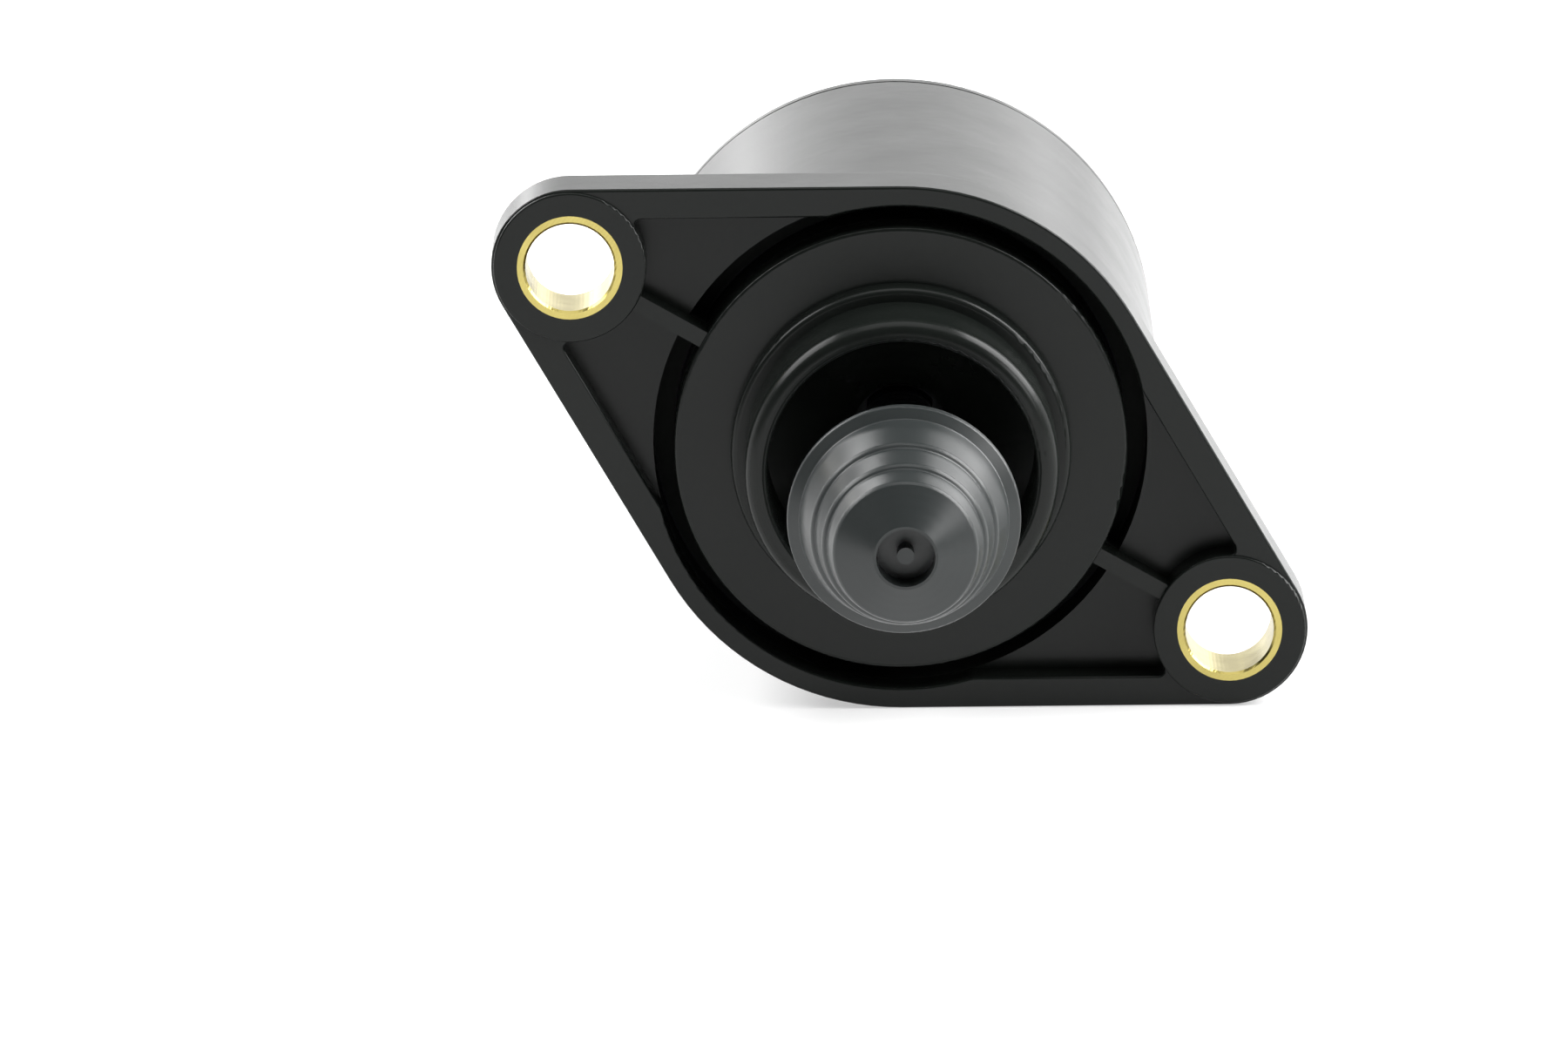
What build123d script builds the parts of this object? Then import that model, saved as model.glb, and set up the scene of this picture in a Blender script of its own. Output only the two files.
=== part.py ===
"""Idle air control valve: a stepper motor in a flanged moulding slides a stepped pintle.

Modelling axes: x right and y up as seen from the mounting side, z along the valve axis towards the
pintle, mounting plane at z = 0. On export z becomes -Y and y becomes +Z. Sizes are in millimetres.
"""

import os
from math import acos, degrees

from build123d import *

# Mounting flange
hole_spacing = 41.0
flange_radius = 14.5
lobe_radius = 4.25
flange_thickness = 4.1
face_relief = 0.2
flange_edge_round = 0.15
flange_back_round = 0.25
rim_wall = 1.65
pocket_depth = 2.1
pocket_corner = 0.35
pocket_edge_round = 0.12
boss_inset = 0.12
boss_edge_round = 0.12
disc_inset = 2.25
disc_edge_round = 0.2
groove_width = 1.15
groove_depth = 5.0
rib_width = 0.9
rib_join = 0.3
rib_relief = 0.15

# Brass sleeves in the screw holes
limiter_bore = 4.8
limiter_wall = 0.45
limiter_chamfer = 0.12

# Spigot around the pintle
step_radius = 9.2
step_height = 1.1
step_round = 0.35
spigot_radius = 8.45
spigot_height = 5.7
spigot_rim_round = 0.8
spigot_wall = 1.18
bore_mouth_round = 0.25
bore_depth = 4.4
bore_cone = 3.0

# Bulkhead between the bore and the motor
bulkhead_web = 1.0
screw_hole_gap = 0.3
guide_radius = 5.5
guide_thickness = 1.2
guide_gap = 0.3
guide_fit = 0.04

# Ball bearing
bearing_radius = 7.0
bearing_bore = 3.5
bearing_width = 3.5
ball_radius = 0.97
ball_count = 8
ball_fit = 0.05
race_land_gap = 0.6
cage_thickness = 0.6
cage_width = 2.6

# Stator stacks
stator_length = 7.7
stator_fit = 0.1
sheet = 0.9
plate_fit = 0.05
claw_count = 6
claw_thickness = 0.7
claw_root_width = 2.7
claw_tip_width = 1.6
claw_end_gap = 0.8
bobbin_gap = 0.15
bobbin_wall = 0.7
bobbin_lip = 0.35
bobbin_lip_gap = 0.25

# Rotor
air_gap = 0.3
magnet_share = 0.52
magnet_end_gap = 0.8
hub_share = 0.666
journal_radius = 3.0
journal_fit = 0.03
journal_end_gap = 0.2
thread_fit = 0.03

# Rear bush and disc spring
bush_wall = 1.5
bush_length = 2.4
bush_inset = 1.4
bush_boss_wall = 1.8
spring_thickness = 0.25
spring_space = 0.6
spring_gap = 0.1

# Body shell and rear cover
body_inset = 0.15
shell_wall = 1.55
cover_plug_length = 2.4
cover_plug_fit = 0.05
cover_flange = 1.5
cover_edge_round = 0.8
seam_chamfer = 0.12
seal_section = 1.2
seal_slack = 0.04
seal_backing = 0.9
well_depth = 2.1
well_radius = 3.3
pad_inset = 2.85
pad_height = 2.5
pad_edge_round = 0.8

# Plug socket and its blades
socket_width = 17.4
socket_height = 7.4
socket_depth = 12.0
socket_floor = 0.4
shroud_wall = 1.3
shroud_edge_round = 0.3
blade_width = 1.5
blade_thickness = 0.8
blade_pitch = 3.9
blade_count = 4
blade_recess = 4.5
blade_taper = 0.25
blade_jog = 7.5
blade_jog_cover = 1.5
blade_end_gap = 0.5
latch_width = 5.0
latch_length = 3.6
latch_height = 1.4
latch_setback = 2.5

# Lead screw and its travel
screw_radius = 2.3
screw_flat = 1.75
screw_grip = 6.5
screw_end_gap = 1.4
travel_in = 6.0

# Pintle
pintle_reach = 24.2
head_radius = 6.2
head_land = 0.5
head_edge_round = 0.2
head_shoulder = 0.4
head_drop = 0.65
first_tier_length = 3.3
first_tier_taper = 0.6
second_tier_length = 2.3
second_tier_taper = 0.32
third_tier_length = 1.5
third_tier_taper = 0.3
tier_shoulder = 0.18
tier_drop = 0.26
tier_round = 0.35
tier_root_round = 0.12
nose_length = 1.3
tip_radius = 1.7
tip_rim = 0.15
tip_recess = 1.7
gate_radius = 0.45
gate_height = 1.2
head_hub_radius = 3.6
head_hub_length = 2.4

# Heights along the axis that the pieces share
face_z = -face_relief
groove_floor_z = face_z - groove_depth
pocket_floor_z = face_z - pocket_depth
bore_floor_z = -bore_depth
guide_front_z = bore_floor_z - bulkhead_web
guide_back_z = guide_front_z - guide_thickness
bearing_front_z = guide_back_z - guide_gap
bearing_middle_z = bearing_front_z - bearing_width / 2
motor_front_z = bearing_front_z - bearing_width
motor_middle_z = motor_front_z - stator_length
motor_back_z = motor_middle_z - stator_length
shell_end_z = motor_back_z - cover_plug_length
cover_back_z = shell_end_z - cover_flange
bush_back_z = shell_end_z + bush_inset
bush_front_z = bush_back_z + bush_length
hub_back_z = bush_front_z + spring_space
seal_z = (motor_back_z + shell_end_z) / 2
well_z = bush_back_z - well_depth
jog_front_z = well_z - blade_jog_cover
pad_back_z = cover_back_z - pad_height
socket_floor_z = pad_back_z - socket_floor
shroud_end_z = socket_floor_z - socket_depth
nose_z = pintle_reach - nose_length
third_tier_z = nose_z - third_tier_length
second_tier_z = third_tier_z - second_tier_length
first_tier_z = second_tier_z - first_tier_length
head_back_z = first_tier_z - head_land
head_hub_z = head_back_z - head_hub_length
screw_front_z = head_hub_z + screw_grip
screw_tail_z = well_z + travel_in + screw_end_gap

# Radii that the pieces share
boss_radius = lobe_radius - boss_inset
disc_radius = flange_radius - disc_inset
groove_radius = disc_radius + groove_width
body_radius = flange_radius - body_inset
pad_radius = body_radius - pad_inset
bore_radius = spigot_radius - spigot_wall
screw_hole_radius = screw_radius + screw_hole_gap
limiter_radius = limiter_bore / 2 + limiter_wall
cavity_radius = body_radius - shell_wall
stator_radius = cavity_radius - stator_fit
magnet_radius = magnet_share * stator_radius
hub_radius = hub_share * magnet_radius
plug_radius = cavity_radius - cover_plug_fit
claw_radius = magnet_radius + air_gap
bobbin_radius = claw_radius + claw_thickness + bobbin_gap
coil_radius = bobbin_radius + bobbin_wall
lip_radius = stator_radius - sheet - plate_fit - bobbin_lip_gap
winding_radius = lip_radius - bobbin_lip
seal_circle = cavity_radius - seal_slack - seal_section / 2
bush_bore = journal_radius + journal_fit
bush_radius = bush_bore + bush_wall
ball_circle = (bearing_radius + bearing_bore) / 2
first_tier_root = head_radius - head_drop
first_tier_end = first_tier_root - first_tier_taper
second_tier_root = first_tier_end - tier_drop
second_tier_end = second_tier_root - second_tier_taper
third_tier_root = second_tier_end - tier_drop
third_tier_end = third_tier_root - third_tier_taper

# Lie of the flange: its long edges are level
hole_offset = hole_spacing / 2
edge_lean = degrees(acos((flange_radius - lobe_radius) / hole_offset))
flange_turn = Rot(0, 0, edge_lean - 90)


def raised(section, low, high):
    """Solid of one section between two heights."""
    return Pos(0, 0, low) * extrude(section, amount=high - low)


def ring(inner, outer, low, high):
    """Plain ring about the axis between two heights."""
    return raised(Circle(outer) - Circle(inner), low, high)


def spun(section):
    """Solid turned about the axis from a section drawn as radius and height."""
    return revolve(Plane.XZ * section, axis=Axis.Z)


def turned(corners):
    """Solid turned from (radius, height) corners; a third value rounds that corner."""
    section = make_face(Polyline(*[corner[:2] for corner in corners], close=True))
    for corner in corners:
        if len(corner) == 3:
            section = fillet(section.vertices().sort_by_distance(corner[:2])[0], corner[2])
    return spun(section)


def at_holes(shape):
    """The shape at both screw holes, the upper one first."""
    return [flange_turn * Pos(side * hole_offset, 0, 0) * shape for side in (-1, 1)]


def flange_outline(inset):
    """Diamond outline of the flange, set in by a distance."""
    centre = flange_radius - inset
    lobe = lobe_radius - inset
    arcs = [
        CenterArc((hole_offset, 0), lobe, -edge_lean, 2 * edge_lean),
        CenterArc((0, 0), centre, edge_lean, 180 - 2 * edge_lean),
        CenterArc((-hole_offset, 0), lobe, 180 - edge_lean, 2 * edge_lean),
        CenterArc((0, 0), centre, 180 + edge_lean, 180 - 2 * edge_lean),
    ]
    links = [Line(arcs[i] @ 1, arcs[(i + 1) % 4] @ 0) for i in range(4)]
    return flange_turn * make_face(arcs + links)


def screw_section(gap):
    """Section of the lead screw with its two flats, grown by a gap."""
    return Circle(screw_radius + gap) & Rectangle(2 * (screw_flat + gap), 4 * screw_radius)


def make_flange_plate():
    """Flange plate with a pocket beside each boss, open over the groove."""
    plate = raised(flange_outline(0), -flange_thickness, face_z)
    plate = fillet(plate.faces().sort_by(Axis.Z)[-1].edges(), flange_edge_round)
    plate = fillet(plate.faces().sort_by(Axis.Z)[0].edges(), flange_back_round)
    pockets = flange_outline(rim_wall) - Circle(groove_radius)
    for boss in at_holes(Circle(boss_radius)):
        pockets -= boss
    corners = pockets.vertices().filter_by(lambda corner: corner.center().length > groove_radius + rib_width)
    pockets = fillet(corners, pocket_corner)
    plate -= raised(Circle(groove_radius), -flange_thickness, face_z)
    plate -= raised(pockets, pocket_floor_z, face_z)
    return fillet(plate.faces().sort_by(Axis.Z)[-1].inner_wires().edges(), pocket_edge_round)


def make_ribs():
    """Ribs along the hole line that bridge the groove and stand in the pockets."""
    rib_top = face_z - rib_relief
    bar = flange_turn * Rectangle(2 * (hole_offset - boss_radius + rib_join), rib_width)
    bridge = raised(bar, groove_floor_z - rib_join, rib_top)
    bridge &= ring(disc_radius - rib_join, groove_radius + rib_join, groove_floor_z - rib_join, rib_top)
    spine = raised(bar - Circle(groove_radius), -flange_thickness, rib_top)
    return [bridge, spine]


def make_boss():
    """Round boss about a screw hole, its face on the mounting plane."""
    boss = raised(Circle(boss_radius), -flange_thickness, 0)
    return fillet(boss.faces().sort_by(Axis.Z)[-1].edges(), boss_edge_round)


def make_flange_housing():
    """Flange, spigot, bulkhead and body shell in one moulding."""
    housing = turned([
        (bore_radius, bore_floor_z + bore_cone),
        (bore_radius, spigot_height, bore_mouth_round),
        (spigot_radius, spigot_height, spigot_rim_round),
        (spigot_radius, step_height),
        (step_radius, step_height, step_round),
        (step_radius, face_z),
        (disc_radius, face_z, disc_edge_round),
        (disc_radius, groove_floor_z),
        (groove_radius, groove_floor_z),
        (groove_radius, -flange_thickness),
        (body_radius, -flange_thickness),
        (body_radius, shell_end_z + seam_chamfer),
        (body_radius - seam_chamfer, shell_end_z),
        (cavity_radius, shell_end_z),
        (cavity_radius, motor_front_z),
        (bearing_radius, motor_front_z),
        (bearing_radius, bearing_front_z),
        (guide_radius, bearing_front_z),
        (guide_radius, guide_front_z),
        (screw_hole_radius, guide_front_z),
        (screw_hole_radius, bore_floor_z),
    ])
    housing += make_flange_plate()
    for piece in at_holes(make_boss()) + make_ribs():
        housing += piece
    for hole in at_holes(raised(Circle(limiter_radius), -flange_thickness, 0)):
        housing -= hole
    return housing


def make_limiter():
    """Brass sleeve as long as the boss, its bore chamfered at both ends."""
    inner = limiter_bore / 2
    return turned([
        (inner + limiter_chamfer, 0),
        (limiter_radius, 0),
        (limiter_radius, -flange_thickness),
        (inner + limiter_chamfer, -flange_thickness),
        (inner, limiter_chamfer - flange_thickness),
        (inner, -limiter_chamfer),
    ])


def make_pintle():
    """Stepped plunger: tip with a gate mark, nose, three tiers, land and the hub that grips the screw."""
    recess_z = pintle_reach - tip_recess
    pintle = turned([
        (0, recess_z + gate_height),
        (gate_radius, recess_z + gate_height),
        (gate_radius, recess_z),
        (tip_radius - tip_rim, recess_z),
        (tip_radius - tip_rim, pintle_reach),
        (tip_radius, pintle_reach),
        (third_tier_end, nose_z, tier_round),
        (third_tier_root, third_tier_z, tier_root_round),
        (second_tier_end, third_tier_z - tier_shoulder, tier_round),
        (second_tier_root, second_tier_z, tier_root_round),
        (first_tier_end, second_tier_z - tier_shoulder, tier_round),
        (first_tier_root, first_tier_z + head_shoulder, tier_root_round),
        (head_radius, first_tier_z, head_edge_round),
        (head_radius, head_back_z, head_edge_round),
        (head_hub_radius, head_back_z),
        (head_hub_radius, head_hub_z),
        (0, head_hub_z),
    ])
    return pintle - raised(screw_section(0), head_hub_z, screw_front_z)


def make_lead_screw():
    """Screw with two flats, from inside the pintle to inside the nut."""
    return raised(screw_section(0), screw_tail_z, screw_front_z)


def make_guide_plate():
    """Round plate whose double-D hole keeps the screw from turning."""
    return raised(Circle(guide_radius) - screw_section(guide_fit), guide_back_z, guide_front_z)


def make_race(inner, outer):
    """Bearing race: a ring with its ball groove."""
    section = Pos((inner + outer) / 2, bearing_middle_z) * Rectangle(outer - inner, bearing_width)
    section -= Pos(ball_circle, bearing_middle_z) * Circle(ball_radius + ball_fit)
    return spun(section)


def at_balls(shape):
    """The shape at every ball's place."""
    turns = [Rot(0, 0, 360 * i / ball_count) for i in range(ball_count)]
    return [turn * Pos(ball_circle, 0, bearing_middle_z) * shape for turn in turns]


def make_cage():
    """Ring that keeps the balls apart."""
    half_thickness = cage_thickness / 2
    half_width = cage_width / 2
    cage = ring(ball_circle - half_thickness, ball_circle + half_thickness,
                bearing_middle_z - half_width, bearing_middle_z + half_width)
    for pocket in at_balls(Rot(0, 90, 0) * Cylinder(ball_radius + ball_fit, bearing_radius)):
        cage -= pocket
    return cage


def make_hub():
    """Threaded hub: front journal in the bearing, shoulder in the magnet, rear journal in the bush."""
    bore = screw_radius + thread_fit
    journal_end_z = bush_back_z + journal_end_gap
    return turned([
        (bore, bearing_front_z),
        (bearing_bore, bearing_front_z),
        (bearing_bore, motor_front_z),
        (hub_radius, motor_front_z),
        (hub_radius, hub_back_z),
        (journal_radius, hub_back_z),
        (journal_radius, journal_end_z),
        (bore, journal_end_z),
    ])


def make_claws(root_z, toward, phase):
    """Ring of tapered claw poles that stand from a plate along the axis."""
    reach = stator_length - sheet - claw_end_gap
    tip_z = root_z + toward * reach
    tooth = make_face(Polyline(
        (-claw_root_width / 2, root_z),
        (claw_root_width / 2, root_z),
        (claw_tip_width / 2, tip_z),
        (-claw_tip_width / 2, tip_z),
        close=True,
    ))
    blank = extrude(Plane.YZ * tooth, amount=claw_radius + claw_thickness)
    blank &= ring(claw_radius, claw_radius + claw_thickness, min(root_z, tip_z), max(root_z, tip_z))
    return [Rot(0, 0, phase + 360 * i / claw_count) * blank for i in range(claw_count)]


def slab(inner, outer, start_z, step):
    """Ring that runs a signed distance along the axis from a height."""
    return ring(inner, outer, min(start_z, start_z + step), max(start_z, start_z + step))


def make_stator_cup(end_z, toward, phase):
    """Steel cup of a stator stack: end plate with claws, and the outer wall."""
    cup = slab(claw_radius, stator_radius, end_z, toward * sheet)
    cup += slab(stator_radius - sheet, stator_radius, end_z, toward * stator_length)
    for claw in make_claws(end_z, toward, phase):
        cup += claw
    return cup


def make_stator_plate(toward, phase):
    """Steel plate that closes a stator stack at the middle, with its claws."""
    plate = slab(claw_radius, stator_radius - sheet - plate_fit, motor_middle_z, toward * sheet)
    for claw in make_claws(motor_middle_z, toward, phase):
        plate += claw
    return plate


def make_bobbin(end_z, toward):
    """Spool between the two plates of a stator stack."""
    start_z = end_z + toward * (sheet + plate_fit)
    length = stator_length - 2 * (sheet + plate_fit)
    bobbin = slab(bobbin_radius, coil_radius, start_z, toward * length)
    bobbin += slab(bobbin_radius, lip_radius, start_z, toward * bobbin_wall)
    bobbin += slab(bobbin_radius, lip_radius, start_z + toward * length, -toward * bobbin_wall)
    return bobbin


def make_coil(end_z, toward):
    """Winding that fills a bobbin."""
    start_z = end_z + toward * (sheet + plate_fit + bobbin_wall)
    length = stator_length - 2 * (sheet + plate_fit + bobbin_wall)
    return slab(coil_radius, winding_radius, start_z, toward * length)


def make_preload_spring():
    """Disc spring between the hub's rear shoulder and the bush."""
    inner = bush_bore + spring_gap
    front_z = hub_back_z - spring_gap
    return turned([
        (inner, bush_front_z),
        (inner + spring_thickness, bush_front_z),
        (hub_radius, front_z - spring_thickness),
        (hub_radius, front_z),
        (hub_radius - spring_thickness, front_z),
        (inner, bush_front_z + spring_thickness),
    ])


def make_blade(place):
    """Stamped terminal: blade in the socket, jog in the cover's wall, leg beside the motor."""
    tip_z = shroud_end_z + blade_recess
    leg_z = motor_back_z - blade_end_gap
    half = blade_thickness / 2
    side = make_face(Polyline(
        (-half, jog_front_z),
        (-half, tip_z + blade_taper),
        (blade_taper - half, tip_z),
        (half - blade_taper, tip_z),
        (half, tip_z + blade_taper),
        (half, jog_front_z - blade_thickness),
        (blade_jog + half, jog_front_z - blade_thickness),
        (blade_jog + half, leg_z),
        (blade_jog - half, leg_z),
        (blade_jog - half, jog_front_z),
        close=True,
    ))
    blade = extrude(Plane.YZ * side, amount=blade_width / 2, both=True)
    return Pos(place * blade_pitch, 0, 0) * blade


def make_blades():
    """All the terminals, in a row across the socket."""
    return [make_blade(i - (blade_count - 1) / 2) for i in range(blade_count)]


def make_shroud():
    """Open socket wall with the latch ramp on top."""
    outer_width = socket_width + 2 * shroud_wall
    outer_height = socket_height + 2 * shroud_wall
    shroud = raised(SlotOverall(outer_width, outer_height), shroud_end_z, pad_back_z)
    shroud = fillet(shroud.faces().sort_by(Axis.Z)[0].edges(), shroud_edge_round)
    shroud -= raised(SlotOverall(socket_width, socket_height), shroud_end_z, socket_floor_z)
    top = outer_height / 2
    ramp_z = shroud_end_z + latch_setback
    ramp = make_face(Polyline(
        (top - shroud_wall / 2, ramp_z),
        (top, ramp_z),
        (top + latch_height, ramp_z + latch_length),
        (top - shroud_wall / 2, ramp_z + latch_length),
        close=True,
    ))
    return shroud + extrude(Plane.YZ * ramp, amount=latch_width / 2, both=True)


def make_rear_cover():
    """Rear cover: plug ring with the seal groove, bush boss, pad and plug socket."""
    seal_floor = seal_circle - seal_section / 2 - seal_slack
    seal_half = seal_section / 2 + seal_slack
    boss = bush_radius + bush_boss_wall
    cover = turned([
        (0, well_z),
        (well_radius, well_z),
        (well_radius, bush_back_z),
        (bush_radius, bush_back_z),
        (bush_radius, bush_front_z),
        (boss, bush_front_z),
        (boss, shell_end_z),
        (seal_floor - seal_backing, shell_end_z),
        (seal_floor - seal_backing, motor_back_z),
        (plug_radius, motor_back_z),
        (plug_radius, seal_z + seal_half),
        (seal_floor, seal_z + seal_half),
        (seal_floor, seal_z - seal_half),
        (plug_radius, seal_z - seal_half),
        (plug_radius, shell_end_z),
        (body_radius - seam_chamfer, shell_end_z),
        (body_radius, shell_end_z - seam_chamfer),
        (body_radius, cover_back_z, cover_edge_round),
        (pad_radius, cover_back_z),
        (pad_radius, pad_back_z, pad_edge_round),
        (0, pad_back_z),
    ])
    cover += make_shroud()
    for blade in make_blades():
        cover -= blade
    return cover


def make_pieces():
    """Every piece of the valve by name."""
    upper, lower = at_holes(make_limiter())
    half_pitch = 180 / claw_count
    quarter_pitch = half_pitch / 2
    pieces = {
        "flange_housing": make_flange_housing(),
        "limiter_upper": upper,
        "limiter_lower": lower,
        "pintle": make_pintle(),
        "lead_screw": make_lead_screw(),
        "guide_plate": make_guide_plate(),
        "bearing_outer_race": make_race(ball_circle + race_land_gap, bearing_radius),
        "bearing_inner_race": make_race(bearing_bore, ball_circle - race_land_gap),
        "bearing_balls": Compound(at_balls(Solid.make_sphere(ball_radius))),
        "bearing_cage": make_cage(),
        "rotor_magnet": ring(hub_radius, magnet_radius, hub_back_z, motor_front_z - magnet_end_gap),
        "rotor_hub": make_hub(),
        "front_stator_cup": make_stator_cup(motor_front_z, -1, 0),
        "front_stator_plate": make_stator_plate(1, half_pitch),
        "front_bobbin": make_bobbin(motor_front_z, -1),
        "front_coil": make_coil(motor_front_z, -1),
        "rear_stator_plate": make_stator_plate(-1, quarter_pitch),
        "rear_stator_cup": make_stator_cup(motor_back_z, 1, quarter_pitch + half_pitch),
        "rear_bobbin": make_bobbin(motor_back_z, 1),
        "rear_coil": make_coil(motor_back_z, 1),
        "preload_spring": make_preload_spring(),
        "rear_bush": ring(bush_bore, bush_radius, bush_back_z, bush_front_z),
        "rear_cover": make_rear_cover(),
        "cover_seal": spun(Pos(seal_circle, seal_z) * Rectangle(seal_section, seal_section)),
    }
    for number, blade in enumerate(make_blades(), 1):
        pieces[f"terminal_pin_{number}"] = blade
    return pieces


os.makedirs("parts", exist_ok=True)
for name, piece in make_pieces().items():
    export_step(piece.moved(Plane.XZ.location), f"parts/{name}.step")
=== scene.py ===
"""Looks of an idle air control valve: finishes, the threaded screw, studio light and camera."""

import logging
import math
from dataclasses import dataclass, field
from enum import Enum

import bmesh
import bpy
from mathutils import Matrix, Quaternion, Vector

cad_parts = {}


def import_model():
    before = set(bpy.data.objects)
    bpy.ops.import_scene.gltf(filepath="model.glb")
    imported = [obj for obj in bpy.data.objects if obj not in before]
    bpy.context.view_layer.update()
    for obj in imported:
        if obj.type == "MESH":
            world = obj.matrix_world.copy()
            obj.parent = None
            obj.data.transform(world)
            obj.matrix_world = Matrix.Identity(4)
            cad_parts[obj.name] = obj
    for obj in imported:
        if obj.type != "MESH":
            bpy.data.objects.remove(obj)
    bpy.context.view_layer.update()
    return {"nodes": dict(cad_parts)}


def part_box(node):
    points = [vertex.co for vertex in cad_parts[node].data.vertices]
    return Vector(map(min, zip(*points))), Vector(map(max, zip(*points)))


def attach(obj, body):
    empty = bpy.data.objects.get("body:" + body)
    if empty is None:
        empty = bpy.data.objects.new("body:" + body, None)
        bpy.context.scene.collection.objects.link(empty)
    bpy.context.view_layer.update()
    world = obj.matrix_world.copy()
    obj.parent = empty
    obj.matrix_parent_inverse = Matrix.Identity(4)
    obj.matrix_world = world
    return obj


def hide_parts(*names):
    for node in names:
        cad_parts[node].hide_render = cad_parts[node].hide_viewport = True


log = logging.getLogger("idle_air_valve")

MM = 0.001
WHITE = (1.0, 1.0, 1.0, 1.0)
# Edges of the frame, and of the meshes made here, that turn less than this are shaded smooth
FRAME_SMOOTH_DEG = 25.0
SMOOTH_DEG = 35.0
# Numbers of a mix node's sockets for colours
MIX_SHARE = 0
MIX_FIRST = 6
MIX_SECOND = 7
MIX_RESULT = 2
# Fine detail in the patches of colour and gloss
PATCH_DETAIL = 4.0
PATCH_ROUGHNESS = 0.6
# Nearly all of a noise lies between these values
NOISE_LOW = 0.3
NOISE_HIGH = 0.7
# A wave's sine runs through this many radians for each unit of its scale
WAVE_RADIANS = 20.0
# How far rings and windings stray from a perfect wave
WAVE_WOBBLE = 0.4
WAVE_DETAIL = 1.0
# Fine detail in the grain of stamped and of moulded surfaces
STAMPED_DETAIL = 1.0
MOULDED_DETAIL = 2.0
GRAIN_ROUGHNESS = 0.5
# Keeps the two directions across the valve's axis, which is Y
ACROSS_AXIS = (1.0, 0.0, 1.0)


def linear(code: str) -> tuple[float, float, float, float]:
    """Turns an sRGB hex colour into a linear one, by the curve of the sRGB standard.

    Args:
        code: Colour such as "#23272a".

    Returns:
        Linear red, green, blue and an alpha of one.
    """
    shares = [int(code[i:i + 2], 16) / 255 for i in (1, 3, 5)]
    values = [s / 12.92 if s <= 0.04045 else ((s + 0.055) / 1.055) ** 2.4 for s in shares]
    return (values[0], values[1], values[2], 1.0)


def add_node(tree: bpy.types.NodeTree, kind: str, settings: dict | None = None,
             links: dict | None = None) -> bpy.types.Node:
    """Adds one shader node with its settings and links.

    Args:
        tree: Node tree that takes the node.
        kind: Blender's name of the node type.
        settings: Values by input socket (name or number) or by property name.
        links: Output sockets by the input socket (name or number) that each feeds.

    Returns:
        The new node.
    """
    node = tree.nodes.new(kind)
    for name, value in (settings or {}).items():
        if isinstance(name, int) or name in node.inputs:
            node.inputs[name].default_value = value
        else:
            setattr(node, name, value)
    for name, source in (links or {}).items():
        tree.links.new(source, node.inputs[name])
    return node


class Relief(Enum):
    """How a surface was made, which sets the shape of its fine relief."""

    MOULDED = "moulded"
    TURNED = "turned"
    STAMPED = "stamped"
    SINTERED = "sintered"
    WOUND = "wound"


@dataclass(frozen=True)
class DullRing:
    """Ring-shaped hollow round the valve's axis that a rough core moulded, which leaves it dull.

    Attributes:
        radius_mm: Middle of the ring, from the axis.
        reach_mm: How far the ring reaches to either side of that radius.
        depth_mm: Middle of its depth behind the mounting plane.
        depth_reach_mm: How far it reaches to either side of that depth.
        extra: Roughness that it adds.
    """

    radius_mm: float
    reach_mm: float
    depth_mm: float
    depth_reach_mm: float
    extra: float

    def dulled(self, tree: bpy.types.NodeTree, place: bpy.types.NodeSocket,
               roughness: bpy.types.NodeSocket) -> bpy.types.NodeSocket:
        """Adds the ring's roughness to that of the surface around it.

        Args:
            tree: Node tree of the material.
            place: Coordinates on the object, in metres.
            roughness: Roughness of the surface around the ring.

        Returns:
            Socket with the roughness of the whole surface.
        """
        across = add_node(tree, "ShaderNodeVectorMath", {"operation": "MULTIPLY", 1: ACROSS_AXIS}, {0: place})
        radius = add_node(tree, "ShaderNodeVectorMath", {"operation": "LENGTH"},
                          {0: across.outputs["Vector"]})
        depth = add_node(tree, "ShaderNodeSeparateXYZ", links={"Vector": place})
        in_ring = add_node(tree, "ShaderNodeMath",
                           {"operation": "COMPARE", 1: self.radius_mm * MM, 2: self.reach_mm * MM},
                           {0: radius.outputs["Value"]})
        in_depth = add_node(tree, "ShaderNodeMath",
                            {"operation": "COMPARE", 1: self.depth_mm * MM, 2: self.depth_reach_mm * MM},
                            {0: depth.outputs["Y"]})
        inside = add_node(tree, "ShaderNodeMath", {"operation": "MULTIPLY"},
                          {0: in_ring.outputs["Value"], 1: in_depth.outputs["Value"]})
        total = add_node(tree, "ShaderNodeMath", {"operation": "MULTIPLY_ADD", 1: self.extra},
                         {0: inside.outputs["Value"], 2: roughness})
        return total.outputs["Value"]


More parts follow.
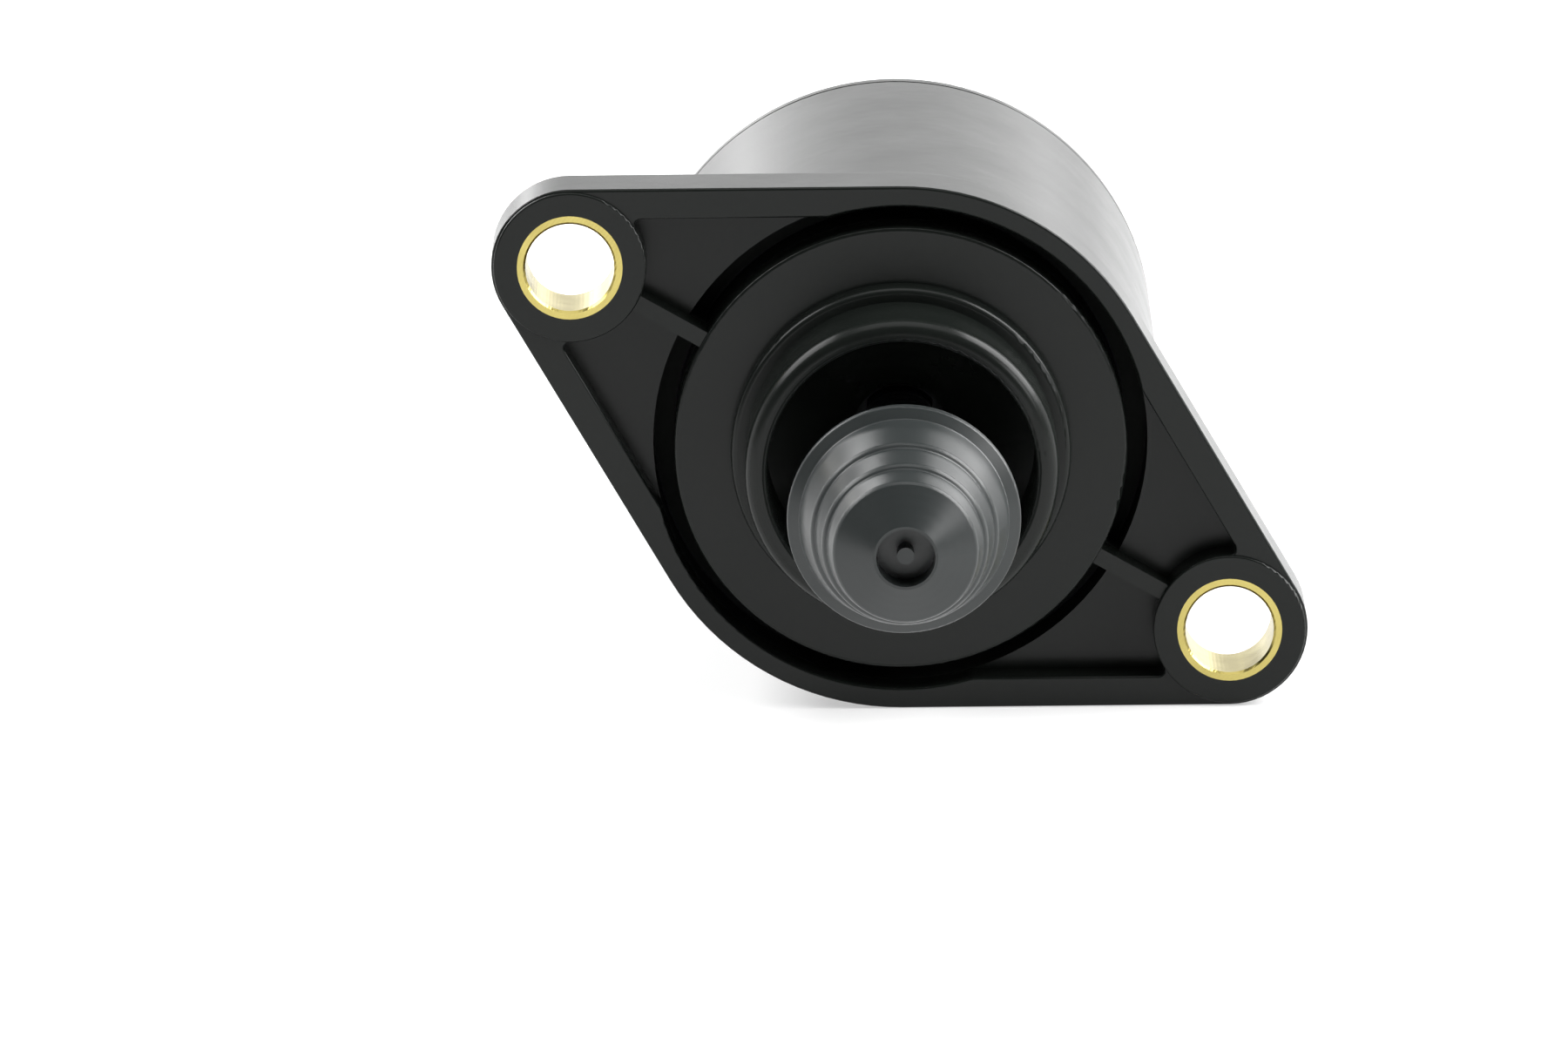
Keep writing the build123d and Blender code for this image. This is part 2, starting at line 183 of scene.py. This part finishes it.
@dataclass(frozen=True)
class Finish:
    """One material: its colours, gloss and the relief that its making left.

    Attributes:
        name: Common name and how the surface was made.
        colour: Main colour, sRGB hex.
        shade: Colour of the darker or duller patches, sRGB hex.
        roughness: Mean roughness of the surface.
        spread: How far the roughness drifts from its mean.
        relief: Shape of the fine relief.
        pitch_mm: Size of one grain, ring or wire.
        depth_mm: Depth of the relief.
        mottle_mm: Size of the colour and gloss patches.
        metallic: One for a metal.
        ior: Index of refraction; metals keep the default.
        shine: Strength of the mirror reflection seen straight on, 0.5 for a clean surface.
        dull_ring: Hollow that is duller than the rest, if there is one.
    """

    name: str
    colour: str
    shade: str
    roughness: float
    spread: float
    relief: Relief
    pitch_mm: float
    depth_mm: float
    mottle_mm: float
    metallic: float = 0.0
    ior: float = 1.5
    shine: float = 0.5
    dull_ring: DullRing | None = None

    def material(self) -> bpy.types.Material:
        """Makes the material at its first use and finds it again after that.

        Returns:
            The material.
        """
        found = bpy.data.materials.get(self.name)
        if found:
            return found
        material = bpy.data.materials.new(self.name)
        material.use_nodes = True
        tree = material.node_tree
        tree.nodes.clear()
        place = add_node(tree, "ShaderNodeTexCoord").outputs["Object"]
        patches = add_node(tree, "ShaderNodeTexNoise",
                           {"Scale": 1 / (self.mottle_mm * MM), "Detail": PATCH_DETAIL,
                            "Roughness": PATCH_ROUGHNESS}, {"Vector": place})
        tint = add_node(tree, "ShaderNodeMix",
                        {"data_type": "RGBA", MIX_FIRST: linear(self.colour), MIX_SECOND: linear(self.shade)},
                        {MIX_SHARE: patches.outputs["Fac"]})
        gloss = add_node(tree, "ShaderNodeMapRange",
                         {"From Min": NOISE_LOW, "From Max": NOISE_HIGH,
                          "To Min": self.roughness - self.spread, "To Max": self.roughness + self.spread},
                         {"Value": patches.outputs["Fac"]})
        roughness = gloss.outputs["Result"]
        if self.dull_ring:
            roughness = self.dull_ring.dulled(tree, place, roughness)
        bump = add_node(tree, "ShaderNodeBump", {"Strength": 1.0, "Distance": self.depth_mm * MM},
                        {"Height": self.height(tree, place)})
        shader = add_node(tree, "ShaderNodeBsdfPrincipled",
                          {"Metallic": self.metallic, "IOR": self.ior, "Specular IOR Level": self.shine},
                          {"Base Color": tint.outputs[MIX_RESULT], "Roughness": roughness,
                           "Normal": bump.outputs["Normal"]})
        add_node(tree, "ShaderNodeOutputMaterial", links={"Surface": shader.outputs["BSDF"]})
        return material

    def height(self, tree: bpy.types.NodeTree, place: bpy.types.NodeSocket) -> bpy.types.NodeSocket:
        """Makes the relief's height.

        Args:
            tree: Node tree of the material.
            place: Coordinates on the object, in metres.

        Returns:
            Socket with the height from zero to one.
        """
        pitch = self.pitch_mm * MM
        if self.relief in (Relief.TURNED, Relief.WOUND):
            settings = {"Scale": math.tau / (WAVE_RADIANS * pitch), "Distortion": WAVE_WOBBLE,
                        "Detail": WAVE_DETAIL}
            if self.relief is Relief.TURNED:
                settings.update(wave_type="RINGS", rings_direction="Y")
            else:
                settings.update(wave_type="BANDS", bands_direction="Y")
            return add_node(tree, "ShaderNodeTexWave", settings, {"Vector": place}).outputs["Fac"]
        if self.relief is Relief.SINTERED:
            cells = add_node(tree, "ShaderNodeTexVoronoi", {"Scale": 1 / pitch}, {"Vector": place})
            return cells.outputs["Distance"]
        detail = STAMPED_DETAIL if self.relief is Relief.STAMPED else MOULDED_DETAIL
        grain = add_node(tree, "ShaderNodeTexNoise",
                         {"Scale": 1 / pitch, "Detail": detail, "Roughness": GRAIN_ROUGHNESS},
                         {"Vector": place})
        return grain.outputs["Fac"]

    def dress(self, *pieces: bpy.types.Object) -> None:
        """Gives the finish to pieces as their only material.

        Args:
            pieces: Mesh objects to dress.
        """
        for piece in pieces:
            piece.data.materials.clear()
            piece.data.materials.append(self.material())
            log.info("%s dressed in %s", piece.name, self.name)


# The deep groove round the disc: it was moulded by a spark-eroded core, so it mirrors little and looks black
DEEP_GROOVE = DullRing(radius_mm=12.8, reach_mm=0.75, depth_mm=3.9, depth_reach_mm=1.5, extra=0.45)
# Glass-filled nylon, moulded: near black, faintly grained, pale only where it mirrors light at a low angle
# (its real grain of about 0.05 mm is finer than a pixel, so it is drawn coarser)
BLACK_NYLON = Finish("glass_filled_nylon_moulded", "#111412", "#171a18", roughness=0.25, spread=0.02,
                     relief=Relief.MOULDED, pitch_mm=0.9, depth_mm=0.004, mottle_mm=5.0, ior=1.53, shine=0.19,
                     dull_ring=DEEP_GROOVE)
# Acetal, moulded in a turned tool: dark grey with a soft shine and faint rings
# (tool marks of about 0.1 mm are drawn coarser, for the same reason)
GREY_ACETAL = Finish("acetal_moulded", "#272b2b", "#222626", roughness=0.34, spread=0.02,
                     relief=Relief.TURNED, pitch_mm=0.5, depth_mm=0.0015, mottle_mm=3.0, ior=1.48, shine=0.47)
# Brass, turned: yellow and bright with fine rings
TURNED_BRASS = Finish("brass_turned", "#bcaf6b", "#a99b58", roughness=0.24, spread=0.03,
                      relief=Relief.TURNED, pitch_mm=0.2, depth_mm=0.003, mottle_mm=2.0, metallic=1.0)
# Steel, ground: clean grey with a tight highlight
GROUND_STEEL = Finish("steel_ground", "#a9abad", "#989a9d", roughness=0.23, spread=0.04,
                      relief=Relief.WOUND, pitch_mm=0.15, depth_mm=0.002, mottle_mm=2.0, metallic=1.0)
# Steel, rolled thread: oiled grey, duller in patches
ROLLED_STEEL = Finish("steel_thread_rolled", "#8e9093", "#7a7c80", roughness=0.34, spread=0.06,
                      relief=Relief.STAMPED, pitch_mm=0.3, depth_mm=0.004, mottle_mm=1.5, metallic=1.0)
# Spring steel, stamped: darker and smooth
SPRING_STEEL = Finish("spring_steel_stamped", "#7d7f82", "#6d6f73", roughness=0.33, spread=0.05,
                      relief=Relief.STAMPED, pitch_mm=0.4, depth_mm=0.003, mottle_mm=1.5, metallic=1.0)
# Steel, stamped, with a fine bloom: its dull near-black colour is painted shade, so that the guide plate deep
# in the bore shows dark
PAINTED_SHADE_STEEL = Finish("steel_near_black_painted_shade", "#262727", "#1f2020", roughness=0.55, spread=0.06,
                     relief=Relief.STAMPED, pitch_mm=0.4, depth_mm=0.004, mottle_mm=1.5, metallic=1.0)
# Steel, stamped and zinc plated: pale grey with cloudy patches
ZINC_STEEL = Finish("steel_zinc_plated", "#b9bbb6", "#9fa29e", roughness=0.38, spread=0.08,
                    relief=Relief.STAMPED, pitch_mm=0.5, depth_mm=0.005, mottle_mm=2.5, metallic=1.0)
# Ferrite, pressed and ground: charcoal and slightly granular
FERRITE = Finish("ferrite_pressed", "#3a3b3e", "#2f3033", roughness=0.5, spread=0.06,
                 relief=Relief.SINTERED, pitch_mm=0.15, depth_mm=0.006, mottle_mm=1.2)
# Bronze, sintered: brown gold and open-pored
BRONZE = Finish("bronze_sintered", "#a57c4c", "#8b663b", roughness=0.42, spread=0.08,
                relief=Relief.SINTERED, pitch_mm=0.12, depth_mm=0.01, mottle_mm=1.0, metallic=1.0)
# Nylon, unpigmented and moulded: milky cream
CREAM_NYLON = Finish("natural_nylon_moulded", "#cfc6ad", "#c3b998", roughness=0.45, spread=0.05,
                     relief=Relief.MOULDED, pitch_mm=0.4, depth_mm=0.005, mottle_mm=3.0)
# Copper wire, enamelled and wound: reddish with a ridge for each turn
COPPER_WIRE = Finish("copper_wire_wound", "#a8542c", "#8d4322", roughness=0.34, spread=0.06,
                     relief=Relief.WOUND, pitch_mm=0.22, depth_mm=0.06, mottle_mm=1.0, metallic=1.0)
# Brass, stamped and tin plated: pale warm grey
TINNED_BRASS = Finish("brass_tin_plated", "#c9c4b4", "#b4ae9d", roughness=0.34, spread=0.06,
                      relief=Relief.STAMPED, pitch_mm=0.3, depth_mm=0.003, mottle_mm=1.5, metallic=1.0)
# Nitrile rubber, moulded: dull black
RUBBER = Finish("nitrile_rubber_moulded", "#1c1c1c", "#222222", roughness=0.62, spread=0.05,
                relief=Relief.MOULDED, pitch_mm=0.3, depth_mm=0.006, mottle_mm=2.0, ior=1.52)


def shade_smooth(data: bpy.types.Mesh, smooth_deg: float) -> None:
    """Shades a mesh smooth and keeps its edges crisp.

    Args:
        data: Mesh to shade.
        smooth_deg: Edges that turn less than this are shaded smooth.
    """
    data.polygons.foreach_set("use_smooth", [True] * len(data.polygons))
    data.set_sharp_from_angle(angle=math.radians(smooth_deg))


def mesh_piece(name: str, mesh: bmesh.types.BMesh) -> bpy.types.Object:
    """Makes an object of a finished mesh.

    Args:
        name: Name of the piece.
        mesh: Mesh to take over; it is freed.

    Returns:
        The new object, linked to the scene.
    """
    data = bpy.data.meshes.new(name)
    bmesh.ops.recalc_face_normals(mesh, faces=mesh.faces)
    mesh.to_mesh(data)
    mesh.free()
    shade_smooth(data, SMOOTH_DEG)
    piece = bpy.data.objects.new(name, data)
    bpy.context.scene.collection.objects.link(piece)
    return piece


@dataclass
class Housing:
    """Moulded housing with its brass sleeves, rear cover, seal and terminal pins.

    Attributes:
        nodes: Frame objects by name.
        pin_count: Number of terminal pins.
    """

    nodes: dict[str, bpy.types.Object]
    pin_count: int = 4

    def dress(self) -> None:
        """Gives each piece its finish."""
        BLACK_NYLON.dress(self.nodes["flange_housing"], self.nodes["rear_cover"])
        TURNED_BRASS.dress(self.nodes["limiter_upper"], self.nodes["limiter_lower"])
        RUBBER.dress(self.nodes["cover_seal"])
        for number in range(1, self.pin_count + 1):
            TINNED_BRASS.dress(self.nodes[f"terminal_pin_{number}"])


@dataclass
class Plunger:
    """Pintle and the threaded screw that carries it.

    Attributes:
        nodes: Frame objects by name.
        pitch: Distance from one turn of the thread to the next.
        thread_depth: Depth of the thread.
        flank_slope: How fast the flank falls, in thread depths for half a pitch.
        crest_cut: How much of that fall the flat crest takes away, in thread depths.
        steps_round: Points in one ring of the mesh.
        steps_pitch: Rings of the mesh in one pitch.
    """

    nodes: dict[str, bpy.types.Object]
    pitch: float = 1.0 * MM
    thread_depth: float = 0.3 * MM
    flank_slope: float = 1.5
    crest_cut: float = 0.25
    steps_round: int = 48
    steps_pitch: int = 10

    def thread_radius(self, outer: float, angle: float, along: float) -> float:
        """Radius of the thread at one place.

        Args:
            outer: Outside radius of the thread.
            angle: Angle round the screw, in radians.
            along: Distance along the screw.

        Returns:
            Radius of the surface there.
        """
        phase = (along / self.pitch + angle / math.tau) % 1.0
        flank = abs(2 * phase - 1)
        return outer - self.thread_depth * min(1.0, max(0.0, self.flank_slope * flank - self.crest_cut))

    def build_screw(self) -> bpy.types.Object:
        """Builds the screw: a rolled thread with two flats along it.

        Returns:
            The screw, which rides on the plunger in place of the plain one.
        """
        low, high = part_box("lead_screw")
        flat = high.x
        outer = high.z
        rings = round((high.y - low.y) / self.pitch * self.steps_pitch)
        mesh = bmesh.new()
        loops = []
        for i in range(rings + 1):
            along = low.y + (high.y - low.y) * i / rings
            loop = []
            for j in range(self.steps_round):
                angle = math.tau * j / self.steps_round
                radius = self.thread_radius(outer, angle, along)
                x = max(-flat, min(flat, radius * math.cos(angle)))
                loop.append(mesh.verts.new((x, along, radius * math.sin(angle))))
            loops.append(loop)
        for here, there in zip(loops, loops[1:]):
            for j in range(self.steps_round):
                k = (j + 1) % self.steps_round
                mesh.faces.new((here[j], here[k], there[k], there[j]))
        mesh.faces.new(loops[0])
        mesh.faces.new(loops[-1])
        screw = mesh_piece("threaded_screw", mesh)
        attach(screw, "plunger")
        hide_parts("lead_screw")
        ROLLED_STEEL.dress(screw)
        return screw

    def dress(self) -> None:
        """Gives the pintle its finish."""
        GREY_ACETAL.dress(self.nodes["pintle"])


@dataclass
class Motor:
    """Stepper motor inside the housing: stators, rotor and bearings.

    Attributes:
        nodes: Frame objects by name.
        finishes: Finish of each piece by its name.
    """

    nodes: dict[str, bpy.types.Object]
    finishes: dict[str, Finish] = field(default_factory=lambda: {
        # The guide plate's near-black colour is painted shade deep in the bore
        "guide_plate": PAINTED_SHADE_STEEL,
        "bearing_outer_race": GROUND_STEEL,
        "bearing_inner_race": GROUND_STEEL,
        "bearing_balls": GROUND_STEEL,
        "bearing_cage": SPRING_STEEL,
        "rotor_magnet": FERRITE,
        "rotor_hub": BRONZE,
        "rear_bush": BRONZE,
        "preload_spring": SPRING_STEEL,
        "front_stator_cup": ZINC_STEEL,
        "front_stator_plate": ZINC_STEEL,
        "rear_stator_cup": ZINC_STEEL,
        "rear_stator_plate": ZINC_STEEL,
        "front_bobbin": CREAM_NYLON,
        "rear_bobbin": CREAM_NYLON,
        "front_coil": COPPER_WIRE,
        "rear_coil": COPPER_WIRE,
    })

    def dress(self) -> None:
        """Gives each piece its finish."""
        for name, finish in self.finishes.items():
            finish.dress(self.nodes[name])


@dataclass
class Softbox:
    """One soft area lamp that looks at the valve; sizes in metres.

    Attributes:
        name: Name of the lamp.
        place: Where its middle stands.
        length: Its level side.
        width: Its other side.
        watts: Its power.
    """

    name: str
    place: tuple[float, float, float]
    length: float
    width: float
    watts: float

    def build(self, target: Vector) -> None:
        """Puts the lamp in the scene.

        Args:
            target: Point that the lamp faces.
        """
        data = bpy.data.lights.new(self.name, "AREA")
        data.shape = "RECTANGLE"
        data.size = self.length
        data.size_y = self.width
        data.energy = self.watts
        lamp = bpy.data.objects.new(self.name, data)
        lamp.location = self.place
        lamp.rotation_euler = (target - Vector(self.place)).to_track_quat("-Z", "Y").to_euler()
        bpy.context.scene.collection.objects.link(lamp)


@dataclass
class Studio:
    """White table, soft lamps, a bright background and the camera at the photograph's angle.

    Attributes:
        floor_z: Height of the valve's lowest edge.
        floor_gap: How far the table lies below it.
        floor_half: Half the side of the table.
        floor_lift: Light that the table adds where it is seen or mirrored, up to white.
        card: Main colour of the table's card, sRGB hex.
        card_shade: Colour of its fibres, sRGB hex.
        fibre_mm: Size of a clump of fibres.
        fibre_detail: Fine detail in the fibres.
        image: Width and height of the picture, in pixels.
        sensor_mm: Width of the camera's sensor.
        focal_px: Focal length, in pixels of the picture.
        sight_m: Distance from the camera to the middle of the mounting plane.
        sight_deg: Downward slope of that line of sight.
        turn_deg: How far that line of sight starts to the left of the valve's axis.
        roll_deg: How far the camera leans clockwise about its line of sight.
        anchor_px: Where the middle of the mounting plane stands in the picture.
        dim: Light from the dark side of the room.
        bright: Light from the white wall behind the valve.
        wall_y: Backward part of a direction where the wall's light starts and where it is full.
        fade_z: Upward part of a direction where the wall's light has faded and where it is full.
        lamps: Soft lamps around the valve.
    """

    floor_z: float
    floor_gap: float = 0.02 * MM
    floor_half: float = 3.0
    floor_lift: float = 0.48
    card: str = "#c9c9c9"
    card_shade: str = "#c6c6c6"
    fibre_mm: float = 2.0
    fibre_detail: float = 3.0
    image: tuple[int, int] = (1800, 1200)
    sensor_mm: float = 36.0
    focal_px: float = 14868.0
    sight_m: float = 0.7
    sight_deg: float = 13.6
    turn_deg: float = 0.5
    roll_deg: float = 0.6
    anchor_px: tuple[float, float] = (1035.0, 517.5)
    dim: float = 0.09
    bright: float = 1.8
    wall_y: tuple[float, float] = (-0.5, 0.2)
    fade_z: tuple[float, float] = (0.55, 0.1)
    lamps: list[Softbox] = field(default_factory=lambda: [
        Softbox("left_softbox", (-0.50, 0.05, 0.48), length=0.60, width=0.35, watts=4.6),
        Softbox("right_softbox", (0.56, 0.05, 0.46), length=0.60, width=0.55, watts=11.0),
        Softbox("back_left_softbox", (-0.44, 0.72, 0.34), length=0.50, width=0.40, watts=4.4),
        Softbox("back_right_softbox", (0.44, 0.72, 0.34), length=0.50, width=0.40, watts=1.6),
        Softbox("top_softbox", (0.0, -0.10, 0.80), length=0.60, width=0.60, watts=1.8),
        Softbox("fill_softbox", (0.60, -0.45, 0.28), length=0.24, width=0.24, watts=1.2),
    ])

    def build(self) -> None:
        """Builds the whole studio."""
        self.build_floor()
        self.build_world()
        self.build_camera()
        for lamp in self.lamps:
            lamp.build(Vector((0, 0, 0)))
        bpy.context.scene.view_settings.view_transform = "Standard"

    def build_floor(self) -> None:
        """Builds the table top, which keeps a faint shadow and shows white to the camera."""
        half = self.floor_half
        height = self.floor_z - self.floor_gap
        mesh = bmesh.new()
        outline = [(-half, -half), (half, -half), (half, half), (-half, half)]
        mesh.faces.new([mesh.verts.new((x, y, height)) for x, y in outline])
        floor = mesh_piece("table_top", mesh)
        material = bpy.data.materials.new("white_card_matt")
        material.use_nodes = True
        tree = material.node_tree
        tree.nodes.clear()
        path = add_node(tree, "ShaderNodeLightPath")
        fibres = add_node(tree, "ShaderNodeTexNoise",
                          {"Scale": 1 / (self.fibre_mm * MM), "Detail": self.fibre_detail},
                          {"Vector": add_node(tree, "ShaderNodeTexCoord").outputs["Object"]})
        white = add_node(tree, "ShaderNodeMix",
                         {"data_type": "RGBA", MIX_FIRST: linear(self.card),
                          MIX_SECOND: linear(self.card_shade)}, {MIX_SHARE: fibres.outputs["Fac"]})
        card = add_node(tree, "ShaderNodeBsdfDiffuse", links={"Color": white.outputs[MIX_RESULT]})
        seen = add_node(tree, "ShaderNodeMath", {"operation": "MAXIMUM"},
                        {0: path.outputs["Is Camera Ray"], 1: path.outputs["Is Glossy Ray"]})
        lift = add_node(tree, "ShaderNodeMath", {"operation": "MULTIPLY", 1: self.floor_lift},
                        {0: seen.outputs["Value"]})
        glow = add_node(tree, "ShaderNodeEmission", {"Color": WHITE}, {"Strength": lift.outputs["Value"]})
        both = add_node(tree, "ShaderNodeAddShader",
                        links={0: card.outputs["BSDF"], 1: glow.outputs["Emission"]})
        add_node(tree, "ShaderNodeOutputMaterial", links={"Surface": both.outputs["Shader"]})
        floor.data.materials.append(material)

    def build_world(self) -> None:
        """Builds the background: white to the camera, bright behind the valve and dim in front of it."""
        world = bpy.data.worlds.new("white_background")
        bpy.context.scene.world = world
        world.use_nodes = True
        tree = world.node_tree
        tree.nodes.clear()
        path = add_node(tree, "ShaderNodeLightPath")
        toward = add_node(tree, "ShaderNodeSeparateXYZ",
                          links={"Vector": add_node(tree, "ShaderNodeTexCoord").outputs["Generated"]})
        behind = add_node(tree, "ShaderNodeMapRange",
                          {"interpolation_type": "SMOOTHSTEP", "From Min": self.wall_y[0],
                           "From Max": self.wall_y[1], "To Min": self.dim, "To Max": self.bright},
                          {"Value": toward.outputs["Y"]})
        fade = add_node(tree, "ShaderNodeMapRange",
                        {"interpolation_type": "SMOOTHSTEP", "From Min": self.fade_z[0],
                         "From Max": self.fade_z[1], "To Min": self.dim},
                        {"Value": toward.outputs["Z"], "To Max": behind.outputs["Result"]})
        seen = add_node(tree, "ShaderNodeMath", {"operation": "MAXIMUM"},
                        {0: path.outputs["Is Camera Ray"], 1: path.outputs["Is Transmission Ray"]})
        level = add_node(tree, "ShaderNodeMath", {"operation": "MAXIMUM"},
                         {0: fade.outputs["Result"], 1: seen.outputs["Value"]})
        sky = add_node(tree, "ShaderNodeBackground", {"Color": WHITE}, {"Strength": level.outputs["Value"]})
        add_node(tree, "ShaderNodeOutputWorld", links={"Surface": sky.outputs["Background"]})

    def build_camera(self) -> None:
        """Puts the camera where the photograph was taken from."""
        data = bpy.data.cameras.new("camera")
        data.sensor_width = self.sensor_mm
        data.lens = self.focal_px * self.sensor_mm / self.image[0]
        slope = math.radians(self.sight_deg)
        turn = math.radians(self.turn_deg)
        yaw = turn + math.atan((self.image[0] / 2 - self.anchor_px[0]) / (self.focal_px * math.cos(slope)))
        dip = slope + math.atan((self.image[1] / 2 - self.anchor_px[1]) / self.focal_px)
        camera = bpy.data.objects.new("camera", data)
        level = self.sight_m * math.cos(slope)
        camera.location = (-level * math.sin(turn), -level * math.cos(turn), self.sight_m * math.sin(slope))
        look = Vector((math.sin(yaw) * math.cos(dip), math.cos(yaw) * math.cos(dip), -math.sin(dip)))
        lean = Quaternion(look, math.radians(self.roll_deg))
        camera.rotation_euler = (lean @ look.to_track_quat("-Z", "Y")).to_euler()
        bpy.context.scene.collection.objects.link(camera)
        bpy.context.scene.camera = camera


def main() -> None:
    """Builds the valve's looks and the studio around it."""
    logging.basicConfig(level=logging.INFO, format="%(message)s")
    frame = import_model()
    nodes = frame["nodes"]
    for node in nodes.values():
        shade_smooth(node.data, FRAME_SMOOTH_DEG)
    housing = Housing(nodes)
    housing.dress()
    plunger = Plunger(nodes)
    plunger.dress()
    log.info("screw built: %s", plunger.build_screw().name)
    motor = Motor(nodes)
    motor.dress()
    Studio(floor_z=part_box("flange_housing")[0].z).build()
    log.info("studio built")


if __name__ == "__main__":
    main()
